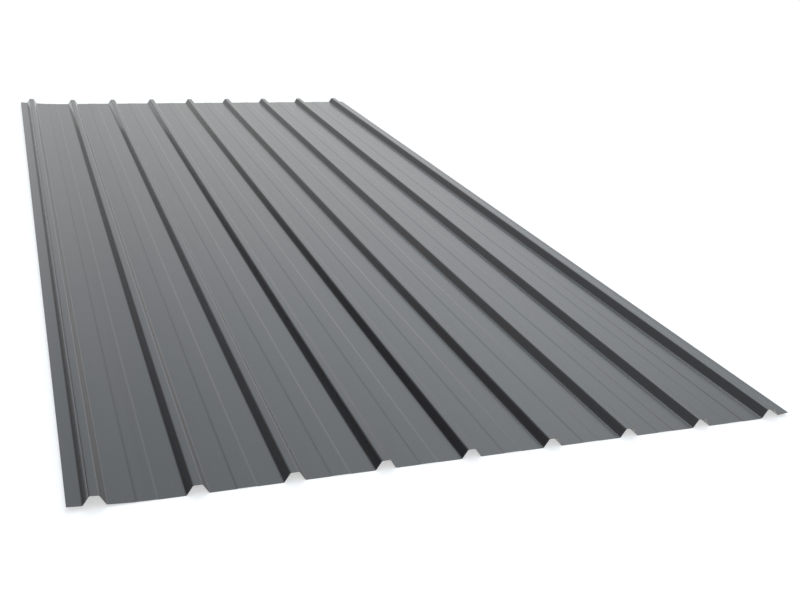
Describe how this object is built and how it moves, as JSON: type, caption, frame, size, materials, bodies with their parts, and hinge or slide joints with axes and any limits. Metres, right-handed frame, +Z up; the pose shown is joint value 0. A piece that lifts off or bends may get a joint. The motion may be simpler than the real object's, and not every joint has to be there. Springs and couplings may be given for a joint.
{
  "type": "trapezoidal profiled metal sheet",
  "caption": "Roll-formed, coil-coated steel roofing and cladding sheet with narrow trapezoidal ribs and wide flat pans, each pan with a shallow raised band.",
  "frame": {"origin": "under the middle of the sheet's outline, on the plane that the pans lie on", "axes": "+X across the ribs, +Y along the ribs, +Z up from the pans to the crests"},
  "size_m": [1.12, 2.5, 0.0145],
  "materials": {
    "coil_coat": "satin anthracite coil coat on the weather side, pale grey back coat beneath"
  },
  "bodies": {
    "root": {"profiled_sheet": "coil_coat"}
  },
  "joints": []
}
